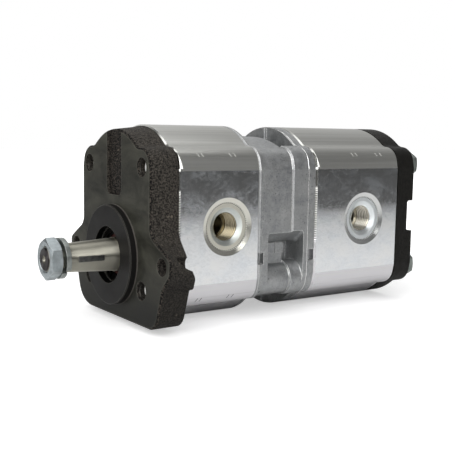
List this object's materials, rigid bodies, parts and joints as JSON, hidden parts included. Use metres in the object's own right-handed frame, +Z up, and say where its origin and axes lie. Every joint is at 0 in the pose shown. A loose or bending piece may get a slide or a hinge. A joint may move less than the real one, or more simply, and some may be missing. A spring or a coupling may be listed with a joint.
{
  "type": "hydraulic pump",
  "caption": "Tandem external gear pump with a mounting flange and pilot, tapered keyed drive shaft, aluminium gear bodies, ribbed intermediate cover and threaded side ports.",
  "frame": {"origin": "centre of the pilot in the plane of the mounting face, on the drive shaft's axis", "axes": "+X along the drive shaft from its tapered end towards the rear cover, +Z up from the drive gear to the idler gear, -Y towards the outlet ports"},
  "size_m": [0.2528, 0.1264, 0.116],
  "materials": {
    "flange_iron": "black-brown phosphated casting with machined face and pilot",
    "body_aluminium": "bright extruded, fine lines along the shaft, machined ends",
    "cover_aluminium": "dull die-cast with machined rims",
    "rear_iron": "black painted casting",
    "bolt_zinc": "zinc plated",
    "dowel_steel": "ground",
    "gear_steel": "ground case-hardened steel",
    "sleeve_steel": "oiled hardened steel",
    "key_steel": "plain drawn steel",
    "nut_zinc": "zinc plated",
    "washer_steel": "zinc plated spring steel",
    "seal_case_steel": "pressed sheet",
    "seal_rubber": "nitrile rubber",
    "spring_steel": "drawn wire",
    "ring_steel": "phosphated spring steel",
    "block_aluminium": "machined",
    "bush_bronze": "bronze with dry bearing lining",
    "backup_plastic": "moulded nylon"
  },
  "bodies": {
    "housing": {"front_flange": "flange_iron", "front_body": "body_aluminium", "intermediate_cover": "cover_aluminium", "rear_body": "body_aluminium", "rear_cover": "rear_iron", "assembly_bolts": "bolt_zinc", "dowel_pins": "dowel_steel", "shaft_seal_case": "seal_case_steel", "shaft_seal_lip": "seal_rubber", "seal_garter_spring": "spring_steel", "seal_retaining_ring": "ring_steel", "front_case_seal": "seal_rubber", "middle_front_case_seal": "seal_rubber", "middle_rear_case_seal": "seal_rubber", "rear_case_seal": "seal_rubber", "front_stage_front_bearing_block": "block_aluminium", "front_stage_front_bushes": "bush_bronze", "front_stage_front_pressure_seal": "seal_rubber", "front_stage_front_backup_ring": "backup_plastic", "front_stage_rear_bearing_block": "block_aluminium", "front_stage_rear_bushes": "bush_bronze", "front_stage_rear_pressure_seal": "seal_rubber", "front_stage_rear_backup_ring": "backup_plastic", "rear_stage_front_bearing_block": "block_aluminium", "rear_stage_front_bushes": "bush_bronze", "rear_stage_front_pressure_seal": "seal_rubber", "rear_stage_front_backup_ring": "backup_plastic", "rear_stage_rear_bearing_block": "block_aluminium", "rear_stage_rear_bushes": "bush_bronze", "rear_stage_rear_pressure_seal": "seal_rubber", "rear_stage_rear_backup_ring": "backup_plastic"},
    "drive_shaft": {"front_drive_gear": "gear_steel", "woodruff_key": "key_steel", "shaft_nut": "nut_zinc", "lock_washer": "washer_steel", "coupling_sleeve": "sleeve_steel"},
    "rear_shaft": {"rear_drive_gear": "gear_steel"},
    "front_idler": {"front_idler_gear": "gear_steel"},
    "rear_idler": {"rear_idler_gear": "gear_steel"}
  },
  "joints": [
    {"name": "drive_spin", "type": "hinge", "parent": "housing", "child": "drive_shaft", "pos_m": [0, 0, 0], "axis": [1, 0, 0], "continuous": true},
    {"name": "rear_drive_spin", "type": "hinge", "parent": "housing", "child": "rear_shaft", "pos_m": [0, 0, 0], "axis": [1, 0, 0], "continuous": true},
    {"name": "front_idler_spin", "type": "hinge", "parent": "housing", "child": "front_idler", "pos_m": [0, 0, 0.03569], "axis": [1, 0, 0], "continuous": true},
    {"name": "rear_idler_spin", "type": "hinge", "parent": "housing", "child": "rear_idler", "pos_m": [0, 0, 0.03569], "axis": [1, 0, 0], "continuous": true}
  ],
  "couplings": [
    {"joint": "rear_drive_spin", "follows": "drive_spin", "ratio": 1},
    {"joint": "front_idler_spin", "follows": "drive_spin", "ratio": -1},
    {"joint": "rear_idler_spin", "follows": "drive_spin", "ratio": -1}
  ]
}
